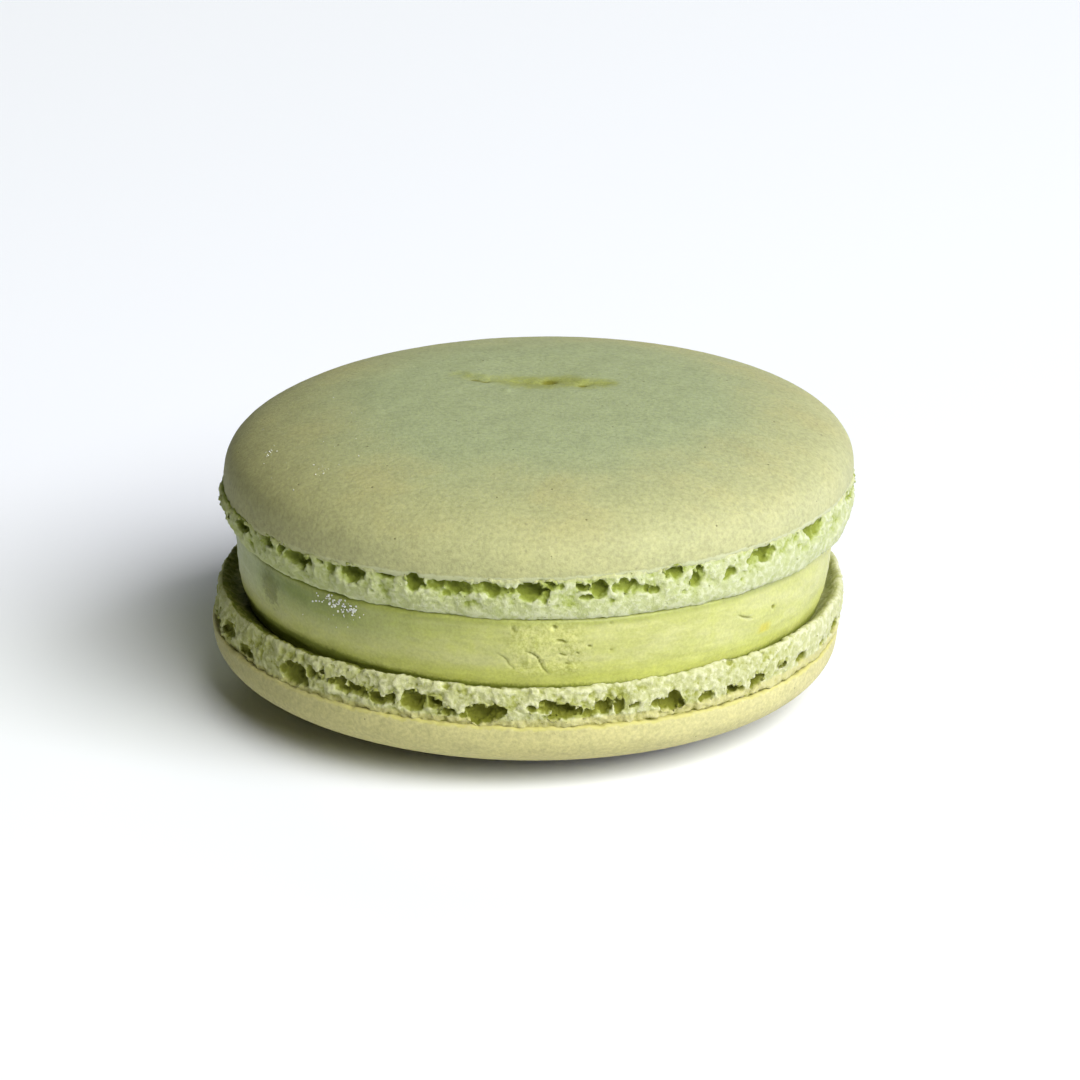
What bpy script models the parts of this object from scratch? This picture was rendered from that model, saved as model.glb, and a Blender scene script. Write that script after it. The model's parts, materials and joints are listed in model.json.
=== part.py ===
"""A french macaron lying flat: two almond shells, each a smooth crust on a ruffled foot, and cream between.

Metres, +Z up. The origin is on the table under the middle of the biscuit, and the front is -Y.
The upper shell is the right way up. The lower shell is upside down and stands on the crown of its crust.
"""

import math
import random

import bpy

MM = 0.001

# Heights above the table.
LEDGE_TOP = 8.4 * MM  # the flat inner face of the lower shell
FOOT_UNDERSIDE = 13.25 * MM  # the flat inner face of the upper shell
CROWN_TOP = 22.2 * MM
CONTACT_GAP = 0.3 * MM  # left between the cream and each shell

# Crusts: a superellipse from the crown to the widest level, and below it a short lip down to the edge.
UPPER_RADIUS = 22.5 * MM
UPPER_WIDEST = 16.7 * MM
UPPER_EDGE = 15.8 * MM
UPPER_POWER = 2.56
LOWER_RADIUS = 22.75 * MM
LOWER_WIDEST = 5.4 * MM
LOWER_EDGE = 5.8 * MM
LOWER_POWER = 2.9
REST_RADIUS = 8.0 * MM  # the level spot that the biscuit rests on

# Walls of the feet, from the crust's edge to the flat face: inset from the crust's radius in millimetres,
# and distance from the crust's edge as a share of the foot's height.
UPPER_FOOT_WALL = ((0.05, 0.0), (0.40, 0.08), (-0.05, 0.25), (0.0, 0.55), (0.25, 0.82), (0.65, 1.0))
LOWER_FOOT_WALL = ((0.03, 0.0), (0.45, 0.12), (0.15, 0.35), (0.10, 0.62), (0.20, 0.88), (0.60, 1.0))
FACE_INSET = 2.4 * MM  # a ring of the flat face just inside the wall

# The pieces were pressed together by hand, so their middles don't line up.
UPPER_MIDDLE = (0.53 * MM, -0.32 * MM)
CREAM_MIDDLE = (0.42 * MM, -0.77 * MM)
LOWER_MIDDLE = (-0.29 * MM, 0.12 * MM)

# Cream: wider under the upper shell than on the lower one.
CREAM_TOP_RADIUS = 21.6 * MM
CREAM_BOTTOM_RADIUS = 20.8 * MM
CREAM_BULGE = 0.35 * MM
CREAM_SWING = 0.11 * MM
CREAM_ROWS = 5
CREAM_LOBES = (2, 3, 5, 7)

# Unevenness of the baked shells.
FOOT_SWING = 0.22 * MM  # how far a foot's wall wanders in and out
EDGE_SWING = 0.10 * MM  # how far a crust's edge wanders up and down
EDGE_SLOPE = (0.028, -0.015)  # the upper crust's edge rises to the right and to the front
EDGE_FADE = 3.0 * MM  # how far up the crust its edge's slope is felt
FOOT_LOBES = (5, 9, 14, 23, 31)
RIM_SHARES = (0.92, 0.97)  # the shares of a shell's radius where its rim begins and is full

# Dimple in the crown.
DIMPLE_MIDDLE = (-0.6 * MM, 4.6 * MM)
DIMPLE_RADIUS = 5.5 * MM
DIMPLE_DEPTH = 0.22 * MM

# Pockets torn in the feet close to the crust's edge.
POCKET_LEVEL = 0.7 * MM  # from the crust's edge to the middle of its pockets
BACK_START, BACK_END = 80.0, 280.0  # degrees right of the front between which the pockets fall by chance
BACK_SPACING = (8.0, 16.0)  # degrees
BACK_WIDTH = (1.2, 2.4)
BACK_HEIGHT = (0.8, 1.4)
BACK_DEPTH = (0.5, 0.9)

# Pockets at the front: degrees right of the front, then width, height and depth in millimetres.
UPPER_POCKETS = (
    (-61, 1.2, 0.8, 0.5),
    (-51, 1.5, 1.2, 0.9),
    (-37, 1.6, 1.2, 0.9),
    (-24, 1.3, 1.4, 0.9),
    (-15, 1.6, 1.1, 0.7),
    (-1.5, 2.2, 1.4, 1.0),
    (11, 1.3, 1.0, 0.7),
    (30, 1.4, 1.3, 0.9),
    (44, 1.7, 1.3, 0.7),
    (60, 1.6, 1.2, 0.6),
)
LOWER_POCKETS = (
    (-72, 1.2, 1.0, 0.6),
    (-48, 2.2, 1.5, 1.0),
    (-33, 2.0, 0.7, 0.6),
    (-20, 1.5, 1.0, 0.8),
    (-7, 2.6, 1.2, 1.0),
    (7, 1.8, 1.1, 0.9),
    (14, 1.2, 1.0, 0.7),
    (28, 1.9, 1.4, 1.0),
    (48, 1.2, 1.1, 0.7),
    (61, 1.2, 0.9, 0.6),
)

# Fineness of the facets.
TURN_STEPS = 128
CROWN_RINGS = 11
WELD = 0.001 * MM
CRISP_ANGLE = 50.0  # degrees, above which an edge is drawn sharp


def blend(start, end, value):
    """0 at start, 1 at end and a smooth rise between; start may be the larger."""
    share = min(max((value - start) / (end - start), 0.0), 1.0)
    return share * share * (3.0 - 2.0 * share)


def swing(seed, lobes):
    """A function of the angle that wanders smoothly between -1 and 1 and closes on itself."""
    chance = random.Random(seed)
    phases = [chance.uniform(0.0, math.tau) for _ in lobes]

    def at(angle):
        return sum(math.sin(n * angle + p) for n, p in zip(lobes, phases)) / len(lobes)

    return at


def all_pockets(seed, front):
    """The front pockets and, round the sides and back, more like them, as (angle, width, height, depth)."""
    chance = random.Random(seed)
    pockets = list(front)
    angle = BACK_START
    while angle < BACK_END:
        width = chance.uniform(*BACK_WIDTH)
        height = chance.uniform(*BACK_HEIGHT)
        pockets.append((angle, width, height, chance.uniform(*BACK_DEPTH)))
        angle += chance.uniform(*BACK_SPACING)
    return [(math.radians(a), w * MM, h * MM, d * MM) for a, w, h, d in pockets]


def pocket_depth(pockets, radius, angle, height):
    """How far the wall is dented here; height is measured from the pockets' own level."""
    deepest = 0.0
    for middle, width, tall, depth in pockets:
        turn = (angle - middle + math.pi) % math.tau - math.pi
        across = radius * turn / (0.5 * width)
        along = height / (0.5 * tall)
        deepest = max(deepest, depth * math.exp(-(across**2) - along**2))
    return deepest


def crown_rings(radius, rise, power):
    """(radius, depth under the crown) of a crust's rings, from the one nearest the axis to the widest."""
    rings = []
    for ring in range(1, CROWN_RINGS + 1):
        turn = 0.5 * math.pi * ring / CROWN_RINGS
        reach = radius * math.sin(turn) ** (2.0 / power)
        rings.append((reach, rise - rise * max(math.cos(turn), 0.0) ** (2.0 / power)))
    return rings


def stood_flat(rings, radius, rise, power):
    """The same rings with those in the resting spot pressed level and the whole crust kept as tall."""
    lost = rise - rise * (1.0 - (REST_RADIUS / radius) ** power) ** (1.0 / power)
    return [(reach, max(depth - lost, 0.0) * rise / (rise - lost)) for reach, depth in rings]


def foot_wall(wall, radius, edge, face):
    """(radius, height) of a foot's wall from the crust's edge to the flat face."""
    return [(radius - inset * MM, edge + (face - edge) * share) for inset, share in wall]


def upper_profile():
    """The upper shell's outline, from the crown down its outer side to the middle of its underside."""
    rise = CROWN_TOP - UPPER_WIDEST
    crown = crown_rings(UPPER_RADIUS, rise, UPPER_POWER)
    points = [(0.0, CROWN_TOP)]
    points += [(reach, CROWN_TOP - depth) for reach, depth in crown]
    points += foot_wall(UPPER_FOOT_WALL, UPPER_RADIUS, UPPER_EDGE, FOOT_UNDERSIDE)
    points += [(UPPER_RADIUS - FACE_INSET, FOOT_UNDERSIDE), (0.0, FOOT_UNDERSIDE)]
    return points


def lower_profile():
    """The lower shell's outline, from the middle of its ledge down its outer side to its crown."""
    crown = crown_rings(LOWER_RADIUS, LOWER_WIDEST, LOWER_POWER)
    points = [(0.0, LEDGE_TOP), (LOWER_RADIUS - FACE_INSET, LEDGE_TOP)]
    points += reversed(foot_wall(LOWER_FOOT_WALL, LOWER_RADIUS, LOWER_EDGE, LEDGE_TOP))
    points += reversed(stood_flat(crown, LOWER_RADIUS, LOWER_WIDEST, LOWER_POWER))
    points.append((0.0, 0.0))
    return points


def cream_profile():
    """The cream's outline, slanting in towards the lower shell, with a slight bulge."""
    top = FOOT_UNDERSIDE - CONTACT_GAP
    bottom = LEDGE_TOP + CONTACT_GAP
    points = [(0.0, top)]
    for row in range(CREAM_ROWS):
        share = row / (CREAM_ROWS - 1)
        radius = CREAM_TOP_RADIUS + (CREAM_BOTTOM_RADIUS - CREAM_TOP_RADIUS) * share
        bulge = CREAM_BULGE * math.sin(math.pi * share)
        points.append((radius + bulge, top + (bottom - top) * share))
    points.append((0.0, bottom))
    return points


def turned(name, profile, middle, collection):
    """A solid turned about an upright axis through middle, as a plain mesh whose points can then be moved."""
    line = bpy.data.meshes.new(name)
    edges = [(i, i + 1) for i in range(len(profile) - 1)]
    line.from_pydata([(r, 0.0, z) for r, z in profile], edges, [])
    piece = bpy.data.objects.new(name, line)
    piece.location = (middle[0], middle[1], 0.0)
    collection.objects.link(piece)
    screw = piece.modifiers.new("Turn", "SCREW")
    screw.steps = TURN_STEPS
    screw.render_steps = TURN_STEPS
    screw.use_merge_vertices = True
    screw.merge_threshold = WELD
    bpy.context.view_layer.update()
    graph = bpy.context.evaluated_depsgraph_get()
    piece.data = bpy.data.meshes.new_from_object(piece.evaluated_get(graph))
    piece.modifiers.clear()
    bpy.data.meshes.remove(line)
    piece.data.name = name
    return piece


def reshape(piece, change):
    """Moves each point of the piece: change takes its radius, angle right of the front and height."""
    for point in piece.data.vertices:
        x, y, z = point.co
        angle = math.atan2(x, -y)
        radius, z = change(math.hypot(x, y), angle, z)
        point.co = (radius * math.sin(angle), -radius * math.cos(angle), z)
    piece.data.update()
    piece.data.shade_smooth()
    piece.data.set_sharp_from_angle(angle=math.radians(CRISP_ANGLE))


def upper_form():
    """What makes the upper shell uneven: its sloping edge, its foot's ruffles and pockets, its dimple."""
    wander = swing(3, FOOT_LOBES)
    ragged = swing(4, FOOT_LOBES)
    pockets = all_pockets(5, UPPER_POCKETS)
    level = UPPER_EDGE - POCKET_LEVEL

    def change(radius, angle, z):
        x, y = radius * math.sin(angle), -radius * math.cos(angle)
        rim = blend(RIM_SHARES[0] * UPPER_RADIUS, RIM_SHARES[1] * UPPER_RADIUS, radius)
        foot = rim * (z < UPPER_EDGE - WELD)
        dent = pocket_depth(pockets, UPPER_RADIUS, angle, z - level)
        radius += foot * (FOOT_SWING * wander(angle) - dent)
        away = math.hypot(x - DIMPLE_MIDDLE[0], y - DIMPLE_MIDDLE[1])
        z -= DIMPLE_DEPTH * blend(DIMPLE_RADIUS, 0.0, away) * (z > UPPER_WIDEST)
        lift = EDGE_SLOPE[0] * x + EDGE_SLOPE[1] * y + EDGE_SWING * ragged(angle)
        below = blend(FOOT_UNDERSIDE, UPPER_EDGE, z)
        above = blend(UPPER_EDGE + EDGE_FADE, UPPER_EDGE, z)
        z += rim * lift * min(below, above)
        return radius, z

    return change


def lower_form():
    """What makes the lower shell uneven: its foot's ruffles and pockets and its wavy rims."""
    wander = swing(6, FOOT_LOBES)
    ragged = swing(7, FOOT_LOBES)
    pockets = all_pockets(8, LOWER_POCKETS)
    level = LOWER_EDGE + POCKET_LEVEL

    def change(radius, angle, z):
        rim = blend(RIM_SHARES[0] * LOWER_RADIUS, RIM_SHARES[1] * LOWER_RADIUS, radius)
        foot = rim * (z > LOWER_EDGE + WELD)
        dent = pocket_depth(pockets, LOWER_RADIUS, angle, z - level)
        radius += foot * (FOOT_SWING * wander(angle) - dent)
        waved = max(blend(level, LEDGE_TOP, z), blend(level, LOWER_EDGE, z) * blend(0.0, LOWER_EDGE, z))
        z += rim * EDGE_SWING * ragged(angle) * waved
        return radius, z

    return change


def cream_form():
    """What makes the cream uneven: its side wanders in and out a little."""
    wander = swing(9, CREAM_LOBES)

    def change(radius, angle, z):
        return radius + CREAM_SWING * wander(angle) * radius / CREAM_TOP_RADIUS, z

    return change


def matt(name, colour, roughness):
    """A plain matt food material."""
    material = bpy.data.materials.new(name)
    material.use_nodes = True
    shader = material.node_tree.nodes["Principled BSDF"]
    shader.inputs["Base Color"].default_value = (*colour, 1.0)
    shader.inputs["Roughness"].default_value = roughness
    shader.inputs["Metallic"].default_value = 0.0
    material.diffuse_color = (*colour, 1.0)
    return material


def upper_shell(collection):
    piece = turned("upper_shell", upper_profile(), UPPER_MIDDLE, collection)
    reshape(piece, upper_form())
    piece.data.materials.append(matt("sage_crust", (0.46, 0.52, 0.27), 0.75))


def filling(collection):
    piece = turned("filling", cream_profile(), CREAM_MIDDLE, collection)
    reshape(piece, cream_form())
    piece.data.materials.append(matt("green_cream", (0.60, 0.64, 0.22), 0.45))


def lower_shell(collection):
    piece = turned("lower_shell", lower_profile(), LOWER_MIDDLE, collection)
    reshape(piece, lower_form())
    piece.data.materials.append(matt("pale_crust", (0.62, 0.60, 0.32), 0.75))


def main():
    for thing in list(bpy.data.objects):
        bpy.data.objects.remove(thing, do_unlink=True)
    macaron = bpy.data.collections.new("macaron")
    bpy.context.scene.collection.children.link(macaron)
    upper_shell(macaron)
    filling(macaron)
    lower_shell(macaron)


main()
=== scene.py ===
"""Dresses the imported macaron: crusts, feet, cream and sugar grains, on a pale floor under soft light."""

import json
import math
import random

import bmesh
import bpy
import numpy
from mathutils import Euler, Matrix, Vector, noise
from mathutils.bvhtree import BVHTree

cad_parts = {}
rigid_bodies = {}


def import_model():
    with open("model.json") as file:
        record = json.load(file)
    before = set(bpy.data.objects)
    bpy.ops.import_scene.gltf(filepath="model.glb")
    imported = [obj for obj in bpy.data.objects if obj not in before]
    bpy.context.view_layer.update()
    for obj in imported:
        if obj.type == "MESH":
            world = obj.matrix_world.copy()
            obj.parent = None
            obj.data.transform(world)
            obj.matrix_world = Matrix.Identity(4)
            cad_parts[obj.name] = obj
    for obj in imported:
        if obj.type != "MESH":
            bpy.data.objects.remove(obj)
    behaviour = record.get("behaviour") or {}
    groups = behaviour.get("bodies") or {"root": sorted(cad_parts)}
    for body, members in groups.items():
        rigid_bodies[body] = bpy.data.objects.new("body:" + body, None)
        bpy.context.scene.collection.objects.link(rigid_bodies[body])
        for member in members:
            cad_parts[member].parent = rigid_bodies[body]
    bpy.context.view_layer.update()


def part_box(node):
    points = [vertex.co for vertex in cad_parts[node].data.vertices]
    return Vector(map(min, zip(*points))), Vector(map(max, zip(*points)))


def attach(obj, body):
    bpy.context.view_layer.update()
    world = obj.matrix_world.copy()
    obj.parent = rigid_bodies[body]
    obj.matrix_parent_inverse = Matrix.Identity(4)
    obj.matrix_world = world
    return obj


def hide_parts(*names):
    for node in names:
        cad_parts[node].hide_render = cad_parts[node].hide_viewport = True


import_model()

MM = 0.001


def middle_of(node):
    """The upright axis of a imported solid, as (x, y)."""
    low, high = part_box(node)
    return (0.5 * (low.x + high.x), 0.5 * (low.y + high.y))


# Levels and middles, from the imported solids.
FACE_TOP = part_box("upper_shell")[0].z  # the upper foot's flat underside
CROWN_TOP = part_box("upper_shell")[1].z
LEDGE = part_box("lower_shell")[1].z - 0.06 * MM  # the lower foot's flat face
UPPER_AXIS = middle_of("upper_shell")
CREAM_AXIS = middle_of("filling")
LOWER_AXIS = middle_of("lower_shell")

# Crusts.
UPPER_RADIUS = 22.6 * MM
UPPER_WIDEST = 16.7 * MM
UPPER_EDGE = 15.8 * MM
UPPER_POWER = 2.56
LOWER_RADIUS = 22.62 * MM
LOWER_WIDEST = 5.1 * MM
LOWER_EDGE = 5.35 * MM
LOWER_POWER = 2.68
LOWER_CRUST_AXIS = (LOWER_AXIS[0] - 0.17 * MM, LOWER_AXIS[1])
LOWER_FOOT_RADIUS = 22.72 * MM
REST_RADIUS = 6.0 * MM
CROWN_SLOPE = (0.014, -0.013)  # the upper biscuit sits a little askew
EDGE_SLOPE = (0.028, -0.015)
LOWER_SLOPE = -0.0135
DISC = 12.0 * MM  # radius of the quilted disc in the middle of each crust
MOST_TRIANGLES = 190000
CRUST_SPOKES = 160
CRUST_RINGS = 12
FOOT_SPOKES = 128
CREAM_SPOKES = 280
CREAM_ROWS = 14

# Cream.
CREAM_TOP_RADIUS = 21.65 * MM
CREAM_BOTTOM_RADIUS = 20.85 * MM
CREAM_BULGE = 0.35 * MM
CREAM_TOP = FACE_TOP + 0.15 * MM
CREAM_BOTTOM = LEDGE - 1.0 * MM

# Dimple and crease in the crown, from the shell's axis.
DIMPLE = (-0.6 * MM, 4.6 * MM)
DIMPLE_RADIUS = 5.5 * MM
DIMPLE_DEPTH = 0.22 * MM
CREASE_END = 9.0 * MM  # the crease and its marks lie within this radius
CREASE = ((-5.8, 5.2), (-4.4, 4.1), (-2.0, 3.5), (0.0, 2.9), (1.4, 3.1), (3.2, 2.3), (4.7, 2.2))
# Small hollows, and lumps with a depth below 0, about the crease: x, y, radius and depth in mm.
CROWN_MARKS = (
    (0.8, 3.3, 0.60, 0.26),
    (-0.9, 3.2, 0.70, 0.10),
    (3.15, 1.9, 0.40, 0.22),
    (-4.55, 3.9, 0.50, 0.18),
    (-3.8, 3.4, 0.45, 0.15),
    (-5.0, 5.0, 0.50, -0.10),
    (-4.0, 4.5, 0.55, -0.12),
    (2.0, 2.4, 0.60, -0.08),
    (3.1, 2.9, 0.50, -0.10),
    (-2.3, 0.9, 0.35, -0.14),
)

# Outlines: how far each loop stands out of its radius and above its level, in mm.
UPPER_CRUST_LIP = (
    (-0.01, 0.60),
    (-0.06, 0.35),
    (-0.14, 0.15),
    (-0.24, 0.02),
    (-0.34, 0.0),
    (-0.60, 0.1),
    (-4.0, 0.1),
)
LOWER_CRUST_LIP = ((-0.01, -0.15), (-0.07, 0.0), (-0.25, 0.05), (-1.2, -0.1), (-4.0, -0.1))
UPPER_FOOT_WALL = ((-0.55, 0.75), (-0.1, 0.55), (0.0, 0.25), (0.04, -0.25), (0.05, -0.8), (0.0, -1.35))
UPPER_FOOT_FACE = (
    (-0.14, 0.75),
    (-0.25, 0.40),
    (-0.42, 0.12),
    (-0.60, 0.0),
    (-1.00, 0.0),
    (-2.20, 0.0),
    (-2.50, 0.3),
)
UPPER_FOOT_BACK = ((-2.50, 0.4), (-2.20, 0.8))
LOWER_FOOT_WALL = ((-0.60, -0.45), (-0.26, -0.12), (-0.14, 0.35), (-0.06, 1.00), (-0.03, 1.70))
LOWER_FOOT_FACE = (
    (-0.10, -0.60),
    (-0.16, -0.20),
    (-0.34, 0.06),
    (-0.62, 0.06),
    (-0.95, -0.22),
    (-1.35, -0.60),
    (-1.80, -0.80),
    (-2.60, -0.85),
    (-3.30, -0.90),
    (-3.50, -1.30),
)
LOWER_FOOT_BACK = ((-3.20, 0.4), (-2.20, -0.4))

# Pockets and pits in the feet: degrees right of the front, then distance from the crust's edge, width,
# height and depth in mm.
UPPER_POCKETS = (
    (-67, 0.0, 1.9, 0.7, 0.8),
    (-57, -0.1, 1.7, 0.7, 0.8),
    (-48, 0.45, 1.7, 1.15, 1.5),
    (-39.5, 0.15, 0.8, 0.6, 0.7),
    (-35, 0.45, 1.6, 1.2, 1.5),
    (-27.5, 0.05, 1.2, 0.2, 0.7),
    (-22.5, 0.15, 0.95, 1.3, 1.3),
    (-18.5, 0.25, 1.3, 0.55, 0.8),
    (-14.8, 0.5, 1.7, 1.1, 1.2),
    (-11, 0.4, 0.6, 0.6, 0.7),
    (-8.3, 0.45, 1.5, 0.85, 1.0),
    (-1.5, 0.55, 2.0, 1.35, 1.6),
    (2.8, 0.2, 1.6, 0.22, 0.6),
    (10.7, 0.6, 1.15, 1.0, 1.1),
    (15.3, 0.55, 1.3, 0.7, 0.8),
    (19.8, 1.15, 1.9, 0.4, 0.4),
    (24.3, 0.15, 1.4, 0.65, 1.1),
    (29, 0.85, 1.0, 1.15, 1.3),
    (35.5, 1.2, 0.9, 0.9, 0.45),
    (43.5, 0.45, 2.1, 1.0, 1.0),
    (58.5, 0.5, 2.3, 0.9, 0.9),
)
LOWER_POCKETS = (
    (-71, 1.45, 1.9, 1.0, 1.0),
    (-62, 0.85, 2.2, 0.6, 0.9),
    (-46.5, 1.25, 2.4, 1.4, 1.5),
    (-42, 1.7, 0.9, 0.7, 0.7),
    (-35.5, 1.5, 1.0, 0.7, 0.9),
    (-33, 1.2, 1.9, 0.45, 0.9),
    (-28, 1.1, 1.5, 0.7, 0.5),
    (-20.3, 1.2, 1.9, 1.05, 1.2),
    (-16.8, 1.4, 0.85, 0.6, 0.9),
    (-13.6, 0.8, 1.3, 0.3, 0.8),
    (-7, 0.8, 2.5, 1.1, 1.5),
    (1, 1.4, 0.85, 0.5, 0.6),
    (4, 1.5, 1.0, 0.6, 0.8),
    (6.7, 1.05, 1.8, 0.9, 1.3),
    (11, 0.75, 1.1, 0.22, 0.7),
    (13.8, 1.0, 1.0, 1.0, 1.2),
    (16.3, 1.15, 0.6, 0.9, 0.9),
    (26.3, 0.85, 1.8, 1.3, 1.6),
    (33.4, 0.75, 1.2, 0.6, 0.8),
    (40, 0.6, 1.5, 0.5, 0.8),
    (45.5, 0.7, 1.2, 1.0, 1.2),
    (52, 1.3, 0.8, 0.5, 0.5),
    (59.5, 0.9, 1.4, 0.9, 0.9),
    (68, 0.8, 0.9, 0.6, 0.5),
)
LOWER_PITS = (
    (-39.4, 2.3, 0.35, 0.45, 0.35),
    (-34, 2.65, 0.4, 0.4, 0.45),
    (-28.5, 2.8, 0.5, 0.35, 0.45),
    (-14.6, 2.9, 0.6, 0.75, 0.6),
    (-12.1, 2.35, 0.24, 0.24, 0.3),
    (-3, 2.9, 0.35, 0.3, 0.35),
    (2.5, 2.5, 0.22, 0.22, 0.25),
    (9.5, 2.85, 0.3, 0.25, 0.3),
    (20.5, 2.1, 0.25, 0.25, 0.25),
    (31, 1.9, 0.28, 0.25, 0.25),
    (38.5, 2.9, 0.4, 0.3, 0.4),
    (47, 2.85, 0.35, 0.3, 0.35),
)
UPPER_PITS = (
    (-30.5, 1.35, 0.28, 0.22, 0.25),
    (-26, 1.5, 0.25, 0.25, 0.3),
    (-12.5, 1.65, 0.55, 0.5, 0.35),
    (1, 1.35, 0.3, 0.28, 0.35),
    (3, 1.75, 0.32, 0.28, 0.3),
    (8.3, 1.15, 0.75, 0.25, 0.4),
    (13, 1.55, 0.4, 0.35, 0.3),
    (26.5, 1.75, 0.3, 0.3, 0.3),
    (39, 1.9, 0.3, 0.35, 0.3),
)

# Cracks, slits and pits in the cream: a run of (degrees right of the front, height in mm), then half
# width and depth in mm.
CREAM_MARKS = (
    (((-2.2, 11.05), (-1.1, 10.9), (0.0, 10.6), (0.3, 10.3), (1.0, 9.7), (2.1, 9.3)), 0.07, 0.20),
    (((0.1, 10.6), (0.9, 10.35), (1.0, 9.9)), 0.06, 0.10),
    (((-7.6, 10.85), (-6.4, 10.6), (-5.7, 10.35), (-5.3, 10.0), (-4.0, 9.55)), 0.08, 0.13),
    (((3.2, 11.85), (4.4, 11.83), (5.2, 11.72)), 0.08, 0.24),
    (((4.1, 10.82), (5.0, 10.72)), 0.09, 0.17),
    (((5.2, 10.1), (5.7, 10.05)), 0.08, 0.14),
    (((3.0, 12.85), (3.2, 12.8)), 0.13, 0.22),
    (((-4.6, 12.7), (-4.2, 12.5)), 0.12, 0.14),
    (((7.2, 10.9), (7.4, 10.85)), 0.09, 0.18),
    (((9.3, 11.35), (9.6, 11.35)), 0.09, 0.18),
    (((13.4, 10.95), (13.6, 10.95)), 0.10, 0.14),
    (((13.3, 12.9), (13.5, 12.9)), 0.09, 0.14),
    (((40.3, 11.7), (41.6, 11.45), (42.6, 11.3), (44.2, 11.15)), 0.08, 0.20),
    (((50.0, 11.3), (50.3, 11.3)), 0.13, 0.28),
    (((24.5, 12.0), (27.0, 12.05), (29.5, 11.95)), 0.10, 0.05),
    (((30.0, 10.2), (34.0, 10.25), (37.0, 10.1)), 0.12, 0.05),
)

POCKET_REACH = 1.55  # length of a pocket's lump, as a share of the pocket's depth
POCKET_LEAN = 0.5  # how far pockets rise going in, in radians
PIT_GROWTH = 0.12  # added to a pit in mm, because crumb closes it by as much
WIDEST_CRACKED_GAP = 11.0  # degrees between pockets that a crack may join
UNCRACKED = (20.0, 75.0)  # degrees right of the front where there are no cracks
CRACK_CHANCE = 0.75
CRACK_HEIGHT = 0.28  # mm
BACK_POCKETS = (76.0, 284.0)  # degrees right of the front where pockets come by chance
BACK_PITS = (70.0, 290.0)
BIG_CHANCE = 0.35  # share of big ones among the pockets by chance
POCKET_CELL = 0.08 * MM
FOAM_CELL = 0.105 * MM

# The torn patch in the cream: degrees right of the front and height in mm.
TORN_AT = (1.5, 11.2)
# Where the cream is pressed in: degrees right of the front, reach in degrees and depth in mm.
PRESSED_IN = (90.0, 35.0, 0.6)

# Sugar on the cream: count, least and greatest size in mm, degrees right of the front, height in mm, and
# the spread of both.
CREAM_SUGAR = (
    (30, (0.08, 0.15), -39.2, 12.7, 1.3, 0.25),
    (16, (0.09, 0.16), -36.0, 12.45, 0.6, 0.16),
    (14, (0.06, 0.12), -42.5, 12.5, 1.8, 0.34),
    (20, (0.04, 0.08), -38.0, 11.9, 3.4, 0.55),
)
# Sugar dust on the crown: count, least and greatest size, x, y from the shell's axis and spread, in mm.
CROWN_SUGAR = (
    (12, (0.03, 0.08), -19.0, -6.1, 0.5),
    (10, (0.03, 0.07), -15.1, -11.4, 0.45),
    (14, (0.03, 0.06), -15.5, -7.0, 3.0),
)

# Colours of the finishes.
PAINTED_SHADE_BROWN = (0.20, 0.18, 0.06)
CREASE_OLIVE = (0.265, 0.285, 0.055)
SPOT_OLIVE = (0.15, 0.145, 0.008)
PINHOLE_BROWN = (0.15, 0.15, 0.05)
PORE_BROWN = (0.12, 0.11, 0.04)
MOIST_SHADE_DEEP = (0.12, 0.14, 0.014)
MOIST_SHADE_PALE = (0.20, 0.205, 0.045)
CREAM_DEEP = (0.405, 0.42, 0.125)
CREAM_PALE = (0.455, 0.46, 0.18)
CREAM_CLOUDED = (0.38, 0.40, 0.09)
CREAM_SHADED = (0.20, 0.245, 0.05)
CREAM_YELLOW = (0.40, 0.425, 0.07)
CREAM_FOOT_SEAM_SHADE = (0.17, 0.20, 0.02)
CREAM_UPPER_SEAM_SHADE = (0.27, 0.30, 0.06)
CREAM_TORN_HIGHLIGHT = (0.51, 0.51, 0.19)
CREAM_TORN_SHADE = (0.34, 0.355, 0.05)
CREAM_CRACK_SHADE = (0.21, 0.22, 0.02)
CREAM_SMEAR_AND_CAUGHT_LIGHT = (0.42, 0.46, 0.20)
CREAM_PATCH = (0.125, 0.14, 0.006)
CREAM_SPOT = (0.44, 0.38, 0.02)
SUGAR_SHADED = (0.88, 0.90, 0.74)
SUGAR_WHITE = (0.97, 0.97, 0.90)
UPPER_CRUST_LOOK = {
    "inner": (0.305, 0.345, 0.175),
    "outer": (0.385, 0.388, 0.18),
    "tan": (0.36, 0.33, 0.135),
    "lip": (0.46, 0.475, 0.26),
    "lip_start": 0.45,
    "left_shade": 0.35,
}
LOWER_CRUST_LOOK = {
    "inner": (0.45, 0.41, 0.18),
    "outer": (0.475, 0.445, 0.19),
    "tan": (0.42, 0.37, 0.14),
    "lip": (0.46, 0.43, 0.14),
    "lip_start": 0.6,
    "left_shade": 0.15,
}
UPPER_FOOT_LOOK = {
    "pale": (0.40, 0.43, 0.195),
    "white": (0.51, 0.53, 0.32),
    "hollow": (0.29, 0.34, 0.075),
    "deep": (0.195, 0.23, 0.03),
    "crust": (0.45, 0.455, 0.22),
    "shaded_trough": False,
}
LOWER_FOOT_LOOK = {
    "pale": (0.41, 0.42, 0.19),
    "white": (0.55, 0.55, 0.33),
    "hollow": (0.28, 0.30, 0.06),
    "deep": (0.18, 0.19, 0.022),
    "crust": (0.46, 0.43, 0.17),
    "shaded_trough": True,
}

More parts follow.
